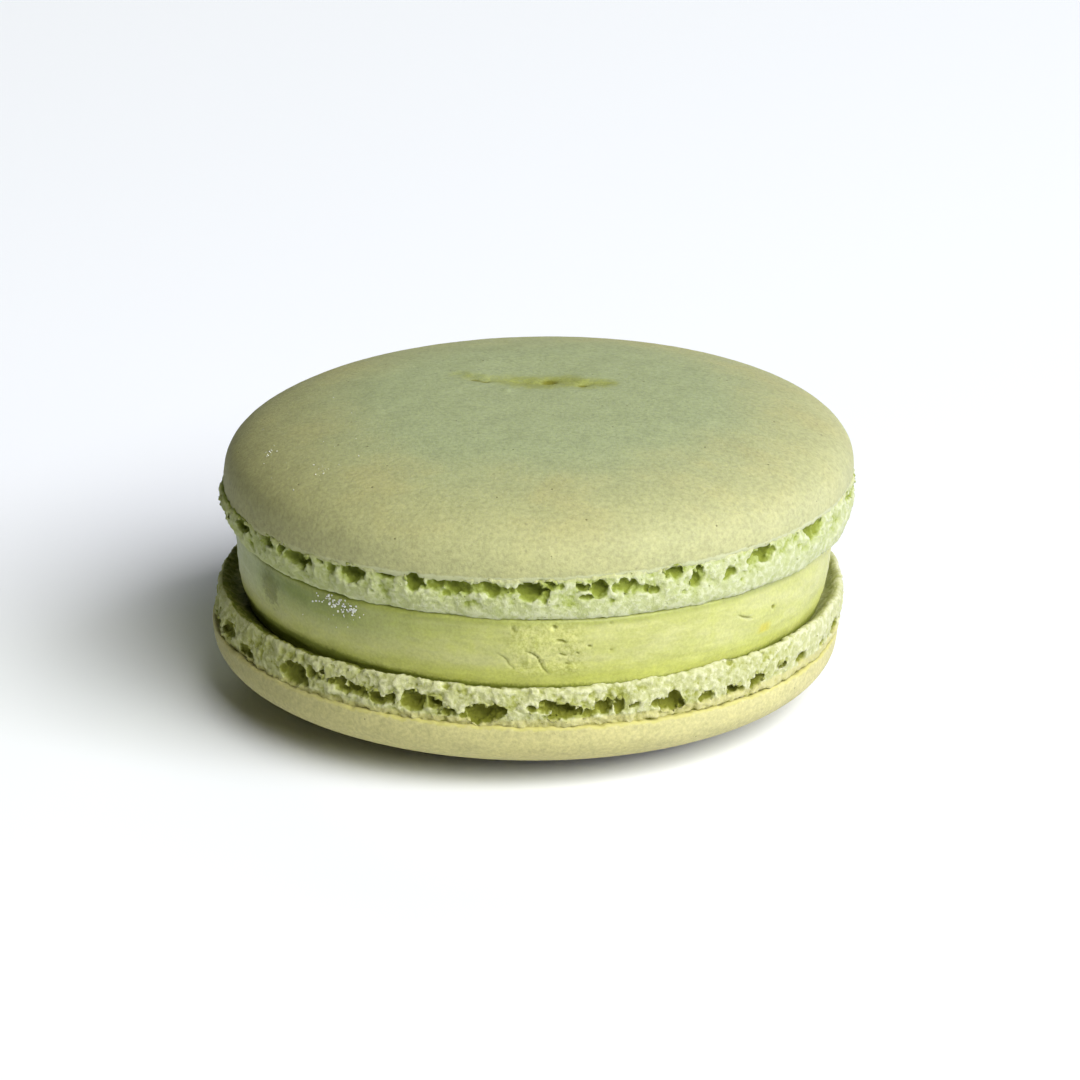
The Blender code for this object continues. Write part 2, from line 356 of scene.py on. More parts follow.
# Lights: name, degrees right of the front, degrees up, distance, width, height, power and colour.
LIGHTS = (
    ("window", 42.0, 42.0, 1.6, 1.6, 1.0, 46.5, (1.0, 1.0, 1.0)),
    ("low_side", 90.0, 9.0, 1.6, 1.6, 0.45, 6.4, (1.0, 1.0, 2.5)),
    ("rear", 180.0, 30.0, 0.9, 0.6, 0.6, 1.7, (0.95, 1.0, 0.8)),
    ("lamp", 40.0, 25.0, 0.9, 0.27, 0.27, 1.0, (0.9, 1.0, 0.9)),
)
SKY_COLOUR = (0.6, 0.8, 1.0, 1.0)
SKY_STRENGTH = 0.01
FLOOR_COLOUR = (0.868, 0.884, 0.905)
CAMERA_RISE = math.radians(20.3)
CAMERA_DISTANCE = 0.448
CAMERA_LENS = 207.3
CAMERA_AIM = (0.6 * MM, 0.0, 10.9 * MM)


def blend(start, end, value):
    """0 at start, 1 at end and a smooth rise between; start may be the larger."""
    share = min(max((value - start) / (end - start), 0.0), 1.0)
    return share * share * (3.0 - 2.0 * share)


def bell(value, width):
    """1 where the value is 0, falling away to either side."""
    return math.exp(-((value / width) ** 2))


def across(radius, angle):
    """(x, y) from the axis of a point with this radius and angle right of the front."""
    return radius * math.sin(angle), -radius * math.cos(angle)


def swing(seed, lobes):
    """A function of the angle that wanders smoothly between -1 and 1 and closes on itself."""
    chance = random.Random(seed)
    phases = [chance.uniform(0.0, math.tau) for _ in lobes]

    def at(angle):
        return sum(math.sin(n * angle + p) for n, p in zip(lobes, phases)) / len(lobes)

    return at


# ---------------------------------------------------------------- modelling by hand


def only(piece):
    bpy.ops.object.select_all(action="DESELECT")
    piece.select_set(True)
    bpy.context.view_layer.objects.active = piece


def settle(piece):
    """Leaves the piece's object at the origin with its place in its mesh."""
    only(piece)
    bpy.ops.object.transform_apply(location=True, rotation=True, scale=True)


def worked(piece, kind, **settings):
    """Adds a modifier and applies it."""
    only(piece)
    modifier = piece.modifiers.new(kind.title(), kind)
    for setting, value in settings.items():
        setattr(modifier, setting, value)
    bpy.ops.object.modifier_apply(modifier=modifier.name)


def pulled(name, outline, around, axis, start="open"):
    """A round piece pulled out of a circle, loop by loop: outline is the (radius, height) of each loop.

    Its start is open, a quilted disc, or joined to its last loop to make a ring."""
    bpy.ops.object.select_all(action="DESELECT")
    radius, height = outline[0]
    bpy.ops.mesh.primitive_circle_add(vertices=around, radius=radius, location=(*axis, height))
    piece = bpy.context.active_object
    piece.name = name
    bpy.ops.object.mode_set(mode="EDIT")
    bpy.ops.mesh.select_mode(type="EDGE")
    if start == "disc":
        bpy.ops.mesh.fill_grid(span=around // 4)
    bpy.ops.mesh.select_all(action="DESELECT")
    bpy.ops.mesh.select_non_manifold(extend=False)
    for wider, higher in outline[1:]:
        bpy.ops.mesh.extrude_edges_move(TRANSFORM_OT_translate={"value": (0.0, 0.0, higher - height)})
        stretch = wider / radius
        bpy.ops.transform.resize(value=(stretch, stretch, 1.0), center_override=(*axis, higher))
        radius, height = wider, higher
    if start == "ring":
        bpy.ops.mesh.select_all(action="DESELECT")
        bpy.ops.mesh.select_non_manifold(extend=False)
        bpy.ops.mesh.bridge_edge_loops()
    bpy.ops.mesh.select_all(action="SELECT")
    bpy.ops.mesh.normals_make_consistent(inside=False)
    bpy.ops.object.mode_set(mode="OBJECT")
    settle(piece)
    worked(piece, "SUBSURF", levels=2, render_levels=2)
    return piece


def closed(piece):
    """Fills the piece's open loops, which its neighbours hide, and turns its faces out."""
    only(piece)
    bpy.ops.object.mode_set(mode="EDIT")
    bpy.ops.mesh.select_mode(type="EDGE")
    bpy.ops.mesh.select_all(action="DESELECT")
    bpy.ops.mesh.select_non_manifold(extend=False)
    bpy.ops.mesh.fill_holes(sides=0)
    bpy.ops.mesh.select_all(action="SELECT")
    bpy.ops.mesh.normals_make_consistent(inside=False)
    bpy.ops.object.mode_set(mode="OBJECT")
    bpy.ops.object.shade_smooth()
    return piece


def reshape(piece, axis, change):
    """Moves each point: change takes radius, angle right of the front and height, and gives new ones."""
    for point in piece.data.vertices:
        x, y, z = point.co
        x -= axis[0]
        y -= axis[1]
        radius, angle, z = change(math.hypot(x, y), math.atan2(x, -y), z)
        point.co = (axis[0] + radius * math.sin(angle), axis[1] - radius * math.cos(angle), z)
    piece.data.update()


def crumb(piece, kind, grain, height, level=0.5, group="", **settings):
    """Roughens a piece along its normals with a pattern of this grain, all over or in a vertex group."""
    pattern = bpy.data.textures.new(f"{piece.name}_{kind.lower()}", kind)
    pattern.noise_scale = grain
    for setting, value in settings.items():
        setattr(pattern, setting, value)
    worked(
        piece,
        "DISPLACE",
        texture=pattern,
        texture_coords="LOCAL",
        strength=height,
        mid_level=level,
        vertex_group=group,
    )


def measured(piece, axis, value):
    """For each point, the value of its radius, angle right of the front and height."""
    found = []
    for point in piece.data.vertices:
        x, y, z = point.co
        x -= axis[0]
        y -= axis[1]
        found.append(value(math.hypot(x, y), math.atan2(x, -y), z))
    return found


def paint(piece, name, values):
    """Stores a number on each point for the finish to read."""
    layer = piece.data.attributes.new(name, "FLOAT", "POINT")
    layer.data.foreach_set("value", values)


def paint_round(piece, axis, **values):
    """Paints each named value, which is a function of radius, angle and height."""
    for name, value in values.items():
        paint(piece, name, measured(piece, axis, value))


def grouped(piece, axis, name, share_at):
    """A vertex group in which each point's share is a function of radius, angle and height."""
    group = piece.vertex_groups.new(name=name)
    for number, share in enumerate(measured(piece, axis, share_at)):
        group.add([number], share, "REPLACE")


def degrees_round(radius, angle, z):
    return math.degrees(angle)


def thinned(piece, axis, back):
    """Merges faces, first those nearer the axis than back, down to the most that one piece may have."""
    triangles = sum(len(face.vertices) - 2 for face in piece.data.polygons)
    if triangles <= MOST_TRIANGLES:
        return
    grouped(piece, axis, "hidden", lambda radius, angle, z: blend(back, back - 0.3 * MM, radius))
    worked(
        piece,
        "DECIMATE",
        ratio=MOST_TRIANGLES / triangles,
        vertex_group="hidden",
        vertex_group_factor=4.0,
        invert_vertex_group=True,
    )
    piece.vertex_groups.clear()


# ---------------------------------------------------------------- shapes


def crown_outline(radius, widest, crown, power, rings, flat):
    """Loops of a crust from where its quilted disc, of radius flat, ends to its widest level."""
    loops = []
    first = math.asin((flat / radius) ** (0.5 * power))
    for ring in range(rings + 1):
        turn = first + (0.5 * math.pi - first) * ring / rings
        share = max(math.cos(turn), 0.0) ** (2.0 / power)
        loops.append((radius * math.sin(turn) ** (2.0 / power), widest + (crown - widest) * share))
    return loops


def loops_near(radius, level, offsets):
    """Loops at offsets in mm from this radius and level."""
    return [(radius + out * MM, level + up * MM) for out, up in offsets]


def crown_level(reach, radius, widest, crown, power):
    """Height of a crust's surface at this distance from its axis."""
    return widest + (crown - widest) * (1.0 - (reach / radius) ** power) ** (1.0 / power)


def upper_slope(x, y):
    return EDGE_SLOPE[0] * x + EDGE_SLOPE[1] * y


def lengthwise(spot, points):
    """Distance from a spot to the line through points, and how far along (0 to 1) it comes nearest."""
    best, along = 1e9, 0.0
    for number, (start, end) in enumerate(zip(points, points[1:])):
        start, end = Vector(start), Vector(end)
        run = end - start
        share = min(max((spot - start).dot(run) / run.length_squared, 0.0), 1.0)
        reach = (spot - start - run * share).length
        if reach < best:
            best, along = reach, (number + share) / (len(points) - 1)
    return best, along


def pocket_bite(pockets, angle, radius):
    """How far the pockets' tops cut into the crust's edge here."""
    bite = 0.0
    for middle, drop, width, tall, _ in pockets:
        turn = (angle - math.radians(middle) + math.pi) % math.tau - math.pi
        over = 0.5 * tall - drop
        if over > 0.0:
            bite = max(bite, over * MM * math.exp(-((radius * turn / (0.42 * width * MM)) ** 4)))
    return bite


def crown_mark(x, y):
    """Depth in mm of the small hollows and lumps about the crease."""
    total = 0.0
    for u, v, radius, depth in CROWN_MARKS:
        total += depth * math.exp(-((x - u) ** 2 + (y - v) ** 2) / radius**2)
    return total


def make_upper_crust():
    r, edge = UPPER_RADIUS, UPPER_EDGE
    outline = crown_outline(r, UPPER_WIDEST, CROWN_TOP, UPPER_POWER, CRUST_RINGS, DISC)
    outline += loops_near(r, edge, UPPER_CRUST_LIP)
    piece = pulled("upper_crust", outline, CRUST_SPOKES, UPPER_AXIS, "disc")
    wander = swing(21, (2, 3, 5))
    ragged = swing(22, (31, 47, 71, 103, 149, 211))

    def change(radius, angle, z):
        x, y = across(radius, angle)
        rim = blend(0.90 * r, 0.97 * r, radius)
        near = rim * blend(edge + 3.0 * MM, edge, z)
        close = rim * blend(edge + 0.7 * MM, edge, z)
        if radius < DISC and z > UPPER_WIDEST:
            z = crown_level(radius, r, UPPER_WIDEST, CROWN_TOP, UPPER_POWER)
        z += (1.0 - near) * (CROWN_SLOPE[0] * x + CROWN_SLOPE[1] * y) + near * upper_slope(x, y)
        z += close * (0.16 * MM * ragged(angle) + 0.8 * pocket_bite(UPPER_POCKETS, angle, r))
        radius += 0.05 * MM * wander(angle) * rim
        away = math.hypot(x - DIMPLE[0], y - DIMPLE[1])
        z -= DIMPLE_DEPTH * blend(DIMPLE_RADIUS, 0.0, away) * (z > UPPER_WIDEST)
        if radius < CREASE_END and z > UPPER_WIDEST:
            reach, _ = lengthwise(Vector((x / MM, y / MM)), CREASE)
            patchy = 0.5 + 0.5 * noise.noise(Vector((x, y, 0.0)) / (1.1 * MM))
            z -= 0.16 * MM * bell(reach, 0.45) * patchy
            z -= crown_mark(x / MM, y / MM) * MM
        return radius, angle, z

    def creased(radius, angle, z):
        if radius > CREASE_END or z < UPPER_WIDEST:
            return 0.0
        x, y = across(radius, angle)
        reach, along = lengthwise(Vector((x / MM, y / MM)), CREASE)
        stained = bell(reach, 1.2 + 0.8 * math.sin(math.pi * along))
        return stained * (0.55 + 0.45 * blend(0.2, 0.5, along))

    def spotted(radius, angle, z):
        if radius > CREASE_END or z < UPPER_WIDEST:
            return 0.0
        x, y = across(radius, angle)
        return max(crown_mark(x / MM, y / MM), 0.0)

    def rim_near(radius, angle, z):
        return blend(edge + 0.75 * MM, edge + 0.25 * MM, z)

    def foamy(radius, angle, z):
        return blend(edge + 1.0 * MM, edge + 0.4 * MM, z) * (z > edge - 1.0 * MM)

    paint_round(piece, UPPER_AXIS, creased=creased, spotted=spotted, rim=rim_near)
    reshape(piece, UPPER_AXIS, change)
    crumb(piece, "CLOUDS", 2.6 * MM, 0.06 * MM)
    crumb(piece, "CLOUDS", 0.5 * MM, 0.02 * MM)
    grouped(piece, UPPER_AXIS, "foamy", foamy)
    crumb(piece, "CLOUDS", 0.4 * MM, 0.12 * MM, group="foamy", noise_depth=1)
    return closed(piece)


def make_lower_crust():
    r, edge = LOWER_RADIUS, LOWER_EDGE
    crown = crown_outline(r, LOWER_WIDEST, 0.0, LOWER_POWER, CRUST_RINGS, DISC)
    lost = LOWER_WIDEST * (1.0 - (1.0 - (REST_RADIUS / r) ** LOWER_POWER) ** (1.0 / LOWER_POWER))
    grown = LOWER_WIDEST / (LOWER_WIDEST - lost)
    outline = [(reach, max(z - lost, 0.0) * grown) for reach, z in crown]
    outline += loops_near(r, edge, LOWER_CRUST_LIP)
    piece = pulled("lower_crust", outline, CRUST_SPOKES, LOWER_CRUST_AXIS, "disc")
    ragged = swing(24, (31, 47, 71, 103, 149, 211))
    wander = swing(25, (2, 3, 5))

    def change(radius, angle, z):
        rim = blend(0.90 * r, 0.97 * r, radius)
        close = blend(edge - 0.7 * MM, edge, z)
        if radius < DISC and z < LOWER_WIDEST - 1.0 * MM:
            z = max(crown_level(radius, r, LOWER_WIDEST, 0.0, LOWER_POWER) - lost, 0.0) * grown
        z = max(z + LOWER_SLOPE * radius * math.sin(angle) * blend(0.0, 8.0 * MM, radius), 0.0)
        z += rim * close * 0.14 * MM * ragged(angle)
        radius += 0.05 * MM * wander(angle) * rim
        return radius, angle, z

    def rim_near(radius, angle, z):
        return blend(edge - 0.5 * MM, edge, z)

    paint_round(piece, LOWER_CRUST_AXIS, rim=rim_near)
    reshape(piece, LOWER_CRUST_AXIS, change)
    crumb(piece, "CLOUDS", 0.5 * MM, 0.02 * MM)
    return closed(piece)


def back_pockets(seed, near, far):
    """Pockets by chance round the sides and back, between near and far mm from the crust's edge."""
    chance = random.Random(seed)
    found = []
    angle, end = BACK_POCKETS
    while angle < end:
        big = chance.random() < BIG_CHANCE
        width = chance.uniform(1.4, 2.4) if big else chance.uniform(0.6, 1.3)
        height = chance.uniform(0.8, 1.3) if big else chance.uniform(0.25, 0.8)
        found.append((angle, chance.uniform(near, far), width, height, chance.uniform(0.7, 1.5)))
        half_turn = 28.0 * width / 22.5  # degrees that half the pocket's width takes up
        angle += half_turn + chance.uniform(1.0, 5.0)
    return found


def scattered_pits(seed, count, near, far):
    """Small pits by chance round the sides and back, between near and far mm from the crust's edge."""
    chance = random.Random(seed)
    found = []
    start, end = BACK_PITS
    for number in range(count):
        angle = start + (number + chance.random()) * (end - start) / count
        width = chance.uniform(0.18, 0.5)
        drop = chance.uniform(near, far)
        found.append((angle, drop, width, width * chance.uniform(0.6, 1.1), chance.uniform(0.25, 0.45)))
    return found


def lump_at(pattern, place, turn, size):
    """A copy of the pattern, with its own mesh, stretched, turned and put in its place."""
    lump = pattern.copy()
    lump.data = pattern.data.copy()
    lump.data.transform(Matrix.LocRotScale(Vector(place), Euler(turn), Vector(size)))
    bpy.context.scene.collection.objects.link(lump)
    return lump


def joined(lumps, name):
    bpy.ops.object.select_all(action="DESELECT")
    for lump in lumps:
        lump.select_set(True)
    bpy.context.view_layer.objects.active = lumps[0]
    bpy.ops.object.join()
    piece = bpy.context.active_object
    piece.name = name
    return piece


def pocket_cutters(name, pockets, pits, axis, radius, level, way, seed):
    """One jagged mesh that fills every pocket, pit and crack: lumps with smaller ones at their sides.

    They rise going in, so that each opening shows a sloping floor under a dark roof. Crumbs that stick
    out of the pockets' walls are left out of it. way is 1 where the foot is above its crust, else -1."""
    chance = random.Random(seed)
    bpy.ops.object.select_all(action="DESELECT")
    bpy.ops.mesh.primitive_ico_sphere_add(subdivisions=3, radius=0.5)
    pattern = bpy.context.active_object
    lumps, crumbs = [], []

    def hollow(heap, degrees, drop, width, depth, tall, inset=0.0):
        angle = math.radians(degrees)
        x, y = across(radius - inset * MM, angle)
        place = (axis[0] + x, axis[1] + y, level(x, y) + way * drop * MM)
        turn = (POCKET_LEAN, chance.uniform(-0.5, 0.5), angle)
        heap.append(lump_at(pattern, place, turn, (width * MM, POCKET_REACH * depth * MM, tall * MM)))

    def about_mouth(pocket, share):
        """A place by chance round a pocket's mouth: degrees, and distance from the crust's edge."""
        middle, drop, width, tall, _ = pocket
        side = chance.uniform(0.0, math.tau)
        beside = share * width * math.cos(side) * math.degrees(MM / radius)
        return middle + beside, drop + share * tall * math.sin(side)

    for number, pocket in enumerate(pockets):
        middle, drop, width, tall, depth = pocket
        hollow(lumps, middle, drop, width, depth, tall)
        # Smaller lumps round its mouth.
        for _ in range(3 + int(width / 0.5)):
            share = chance.uniform(0.3, 0.6)
            degrees, down = about_mouth(pocket, 0.42)
            hollow(lumps, degrees, down, share * width, chance.uniform(0.5, 0.9) * depth, share * tall)
        # Crumbs left standing in it.
        for _ in range(1 + int(width / 0.4)):
            degrees, down = about_mouth(pocket, 0.5)
            size = chance.uniform(0.3, 0.6) * min(1.0, 0.4 + 0.5 * tall)
            inset = chance.uniform(0.1, 0.7) * depth
            hollow(crumbs, degrees, down, size, 0.5 * size, size, inset)
        # A crack to the next pocket.
        after, next_drop = pockets[(number + 1) % len(pockets)][:2]
        gap = (after - middle) % 360.0
        plain = UNCRACKED[0] < middle < UNCRACKED[1]
        if gap < WIDEST_CRACKED_GAP and not plain and chance.random() < CRACK_CHANCE:
            for _ in range(4):
                share = chance.uniform(0.15, 0.85)
                sway = chance.uniform(-0.25, 0.25)
                crack = drop + (next_drop - drop) * share + sway
                long, deep = chance.uniform(0.4, 1.0), chance.uniform(0.5, 0.9)
                hollow(lumps, middle + gap * share, crack, long, deep, CRACK_HEIGHT)
    for middle, drop, width, tall, depth in pits:
        hollow(lumps, middle, drop, width + PIT_GROWTH, depth, tall + PIT_GROWTH)
    bpy.data.objects.remove(pattern)
    cutter, left = joined(lumps, name), joined(crumbs, f"{name}_crumbs")
    for piece in (cutter, left):
        crumb(piece, "VORONOI", 0.5 * MM, 0.24 * MM)
        crumb(piece, "CLOUDS", 0.30 * MM, 0.42 * MM, noise_depth=3)
        worked(piece, "REMESH", mode="VOXEL", voxel_size=POCKET_CELL)
    worked(cutter, "BOOLEAN", operation="DIFFERENCE", solver="MANIFOLD", object=left)
    bpy.data.objects.remove(left)
    return cutter


def without_strays(piece, axis):
    """Drops crumbs that hang free of the ring, and bubbles shut up inside it."""
    reaches = measured(piece, axis, lambda radius, angle, z: radius)
    inmost = reaches.index(min(reaches))
    only(piece)
    bpy.ops.object.mode_set(mode="EDIT")
    bpy.ops.mesh.select_mode(type="VERT")
    bpy.ops.mesh.select_all(action="DESELECT")
    bpy.ops.object.mode_set(mode="OBJECT")
    piece.data.vertices[inmost].select = True
    bpy.ops.object.mode_set(mode="EDIT")
    bpy.ops.mesh.select_linked()
    bpy.ops.mesh.select_all(action="INVERT")
    bpy.ops.mesh.delete(type="VERT")
    bpy.ops.object.mode_set(mode="OBJECT")


def make_foot(name, outline, axis, change, cutter, back, calm, bare, paints, swell, crease):
    """A ring of baked foam: pulled out, ruffled, hollowed by its pockets and roughened.

    Behind the radius back it is hidden by its neighbours, so it is thinned there first. calm gives how
    much of its crumb a point keeps, bare tells whether the skin shows there, and paints holds what the
    finish reads. swell is the height of the broad lumps, and crease the depth between the small ones."""
    piece = pulled(name, outline, FOOT_SPOKES, axis, "ring")
    reshape(piece, axis, change)
    only(piece)
    bpy.ops.object.duplicate()
    skin = bpy.context.active_object
    worked(piece, "BOOLEAN", operation="DIFFERENCE", solver="MANIFOLD", object=cutter)
    worked(piece, "REMESH", mode="VOXEL", voxel_size=FOAM_CELL)
    without_strays(piece, axis)
    grouped(piece, axis, "rough", calm)
    crumb(piece, "CLOUDS", 1.3 * MM, swell, group="rough")
    crumb(piece, "VORONOI", 1.1 * MM, crease, 0.4, "rough", weight_1=-1.0, weight_2=1.0)
    crumb(piece, "VORONOI", 0.55 * MM, 0.13 * MM, 0.35, "rough", weight_1=-1.0, weight_2=1.0)
    crumb(piece, "CLOUDS", 0.45 * MM, 0.24 * MM, group="rough", noise_depth=1)
    crumb(piece, "CLOUDS", 0.20 * MM, 0.15 * MM, group="rough", noise_depth=1)
    thinned(piece, axis, back)
    mark_depth(piece, skin, axis, bare)
    mark_creases(piece, 7)
    for spare in (skin, cutter):
        bpy.data.objects.remove(spare)
    paint_round(piece, axis, **paints, turned=degrees_round)
    only(piece)
    bpy.ops.object.shade_smooth()
    return piece


def mark_depth(piece, skin, axis, bare):
    """Stores how far each point lies under the foot's bare skin, in mm, as depth."""
    mesh = bmesh.new()
    mesh.from_mesh(skin.data)
    covered = []
    for face in mesh.faces:
        x, y, z = face.calc_center_median()
        if not bare(math.hypot(x - axis[0], y - axis[1]), math.atan2(x - axis[0], axis[1] - y), z):
            covered.append(face)
    bmesh.ops.delete(mesh, geom=covered, context="FACES")
    tree = BVHTree.FromBMesh(mesh)
    depths = []
    for point in piece.data.vertices:
        spot, normal, _, reach = tree.find_nearest(point.co)
        inside = (point.co - spot).dot(normal) < 0.0
        depths.append(reach / MM if inside else -reach / MM)
    mesh.free()
    paint(piece, "depth", depths)


def mark_creases(piece, rounds):
    """Stores how far each point lies under the foam smoothed so many times, in mm, as crease: above 0
    between lumps, below 0 on them and along the pockets' rims."""
    mesh = piece.data
    count = len(mesh.vertices)
    place = numpy.empty(3 * count)
    mesh.vertices.foreach_get("co", place)
    place = place.reshape(-1, 3) / MM
    outward = numpy.empty(3 * count)
    mesh.vertices.foreach_get("normal", outward)
    outward = outward.reshape(-1, 3)
    ends = numpy.empty(2 * len(mesh.edges), dtype=int)
    mesh.edges.foreach_get("vertices", ends)
    first, second = ends.reshape(-1, 2).T
    neighbours = numpy.maximum(numpy.bincount(ends, minlength=count), 1)
    smooth = place.copy()
    for _ in range(rounds):
        for side in range(3):
            values = smooth[:, side]
            total = numpy.bincount(first, values[second], count)
            total = total + numpy.bincount(second, values[first], count)
            smooth[:, side] = 0.5 * (values + total / neighbours)
    paint(piece, "crease", ((smooth - place) * outward).sum(axis=1))


def make_upper_foot():
    r, edge, face = UPPER_RADIUS, UPPER_EDGE, FACE_TOP
    outline = [
        *loops_near(r, edge, UPPER_FOOT_WALL),
        *loops_near(r, face, UPPER_FOOT_FACE),
        *loops_near(r, edge, UPPER_FOOT_BACK),
    ]
    wander = swing(31, (5, 9, 14, 23, 31))
    lip = swing(32, (11, 17, 29, 43))

    def change(radius, angle, z):
        x, y = across(radius, angle)
        lift = upper_slope(x, y) * blend(face, edge, z)
        outer = blend(r - 1.6 * MM, r - 0.5 * MM, radius)
        left = blend(math.radians(-50), math.radians(-85), angle)
        left *= blend(math.radians(-175), math.radians(-120), angle)
        radius += outer * (0.14 * MM * wander(angle) + 0.32 * MM * left * blend(face + 0.8 * MM, edge, z))
        low = blend(face + 0.6 * MM, face, z)
        z += lift + outer * low * 0.06 * MM * lip(angle)
        return radius, angle, z

    def level(x, y):
        return edge + upper_slope(x, y)

    def calm(radius, angle, z):
        x, y = across(radius, angle)
        below = (level(x, y) - z) / MM
        return blend(r - 2.4 * MM, r - 1.4 * MM, radius) * (0.45 + 0.55 * blend(2.4, 0.9, below))

    def bare(radius, angle, z):
        x, y = across(radius, angle)
        return radius > r - 0.5 * MM and z < level(x, y) + 0.1 * MM

    def near_edge(radius, angle, z):
        x, y = across(radius, angle)
        return blend(level(x, y) - 0.15 * MM, level(x, y) + 0.3 * MM, z)

    pockets = UPPER_POCKETS + tuple(back_pockets(33, 0.2, 0.9))
    pits = UPPER_PITS + tuple(scattered_pits(35, 30, 0.1, 1.9))
    cutter = pocket_cutters("upper_pockets", pockets, pits, UPPER_AXIS, r, level, -1.0, 34)
    back = r - 1.9 * MM
    paints = {"edge": near_edge}
    swell, crease = 0.40 * MM, 0.20 * MM
    return make_foot(
        "upper_foot", outline, UPPER_AXIS, change, cutter, back, calm, bare, paints, swell, crease
    )


def make_lower_foot():
    r, edge, face = LOWER_FOOT_RADIUS, LOWER_EDGE, LEDGE
    outline = [
        *loops_near(r, edge, LOWER_FOOT_WALL),
        *loops_near(r, face, LOWER_FOOT_FACE),
        *loops_near(r, edge, LOWER_FOOT_BACK),
    ]
    wander = swing(41, (5, 9, 14, 23, 31))
    lip = swing(42, (7, 13, 19, 29, 43))

    def change(radius, angle, z):
        outer = blend(r - 2.0 * MM, r - 0.5 * MM, radius)
        shifted = 0.24 * MM * math.sin(angle) * blend(edge + 0.5 * MM, face, z)
        radius += outer * 0.16 * MM * wander(angle) + shifted
        high = outer * blend(edge + 1.0 * MM, face, z)
        z += high * MM * (0.12 * lip(angle) - 0.2 * bell(math.degrees(angle), 14.0))
        if radius < r - 0.7 * MM and z > face - 1.0 * MM:
            z = face - (face - z) * (0.5 + 0.5 * blend(math.radians(25), math.radians(60), abs(angle)))
        return radius, angle, z

    def level(x, y):
        return edge + 0.12 * MM

    def bare(radius, angle, z):
        return z > edge + 0.1 * MM and (radius > r - 0.5 * MM or z > face - 1.0 * MM)

    def calm(radius, angle, z):
        crest = blend(face - 0.5 * MM, face - 0.1 * MM, z) * blend(r - 0.9 * MM, r - 0.6 * MM, radius)
        smooth_end = blend(math.radians(35), math.radians(75), angle)
        smooth_end *= blend(math.radians(150), math.radians(110), angle)
        trough = blend(r - 0.9 * MM, r - 1.4 * MM, radius) * blend(edge + 1.2 * MM, edge + 1.8 * MM, z)
        kept = (1.0 - 0.2 * crest) * (1.0 - 0.4 * trough) * (1.0 - 0.45 * smooth_end)
        return blend(r - 3.8 * MM, r - 3.0 * MM, radius) * kept

    def inner(radius, angle, z):
        return blend(r - 0.5 * MM, r - 0.95 * MM, radius) * blend(edge + 1.5 * MM, edge + 2.0 * MM, z)

    def near_edge(radius, angle, z):
        return blend(edge + 0.95 * MM, edge + 0.25 * MM, z)

    pockets = LOWER_POCKETS + tuple(back_pockets(43, 0.5, 1.5))
    pits = LOWER_PITS + tuple(scattered_pits(45, 36, 0.3, 2.7))
    cutter = pocket_cutters("lower_pockets", pockets, pits, LOWER_AXIS, r - 0.2 * MM, level, 1.0, 44)
    back = r - 3.0 * MM
    paints = {"edge": near_edge, "inner": inner}
    swell, crease = 0.42 * MM, 0.23 * MM
    return make_foot(
        "lower_foot", outline, LOWER_AXIS, change, cutter, back, calm, bare, paints, swell, crease
    )


def cream_reach(z):
    """Radius of the cream at a height."""
    share = (CREAM_TOP - z) / (CREAM_TOP - CREAM_BOTTOM)
    radius = CREAM_TOP_RADIUS + (CREAM_BOTTOM_RADIUS - CREAM_TOP_RADIUS) * share
    return radius + CREAM_BULGE * math.sin(math.pi * share)


def cream_marks(radius, angle, z):
    """How deep the cracks, slits and pits are here, in mm."""
    deepest = 0.0
    degrees = math.degrees(angle)
    mm_per_degree = math.radians(CREAM_TOP_RADIUS) / MM
    for run, width, depth in CREAM_MARKS:
        if not run[0][0] - 2.0 < degrees < run[-1][0] + 2.0:
            continue
        points = [(turn * mm_per_degree, height) for turn, height in run]
        reach, along = lengthwise(Vector((degrees * mm_per_degree, z / MM)), points)
        ends = 0.45 + 0.55 * math.sin(math.pi * along) if len(run) > 2 else 1.0
        deepest = max(deepest, depth * ends * bell(reach, width))
    return deepest


def torn_patch(radius, angle, z):
    """1 where the cream's skin is torn, 0 where it is wiped smooth."""
    wide = blend(8.0, 5.0, abs(math.degrees(angle) - TORN_AT[0]))
    return wide * blend(2.3, 1.4, abs(z / MM - TORN_AT[1]))


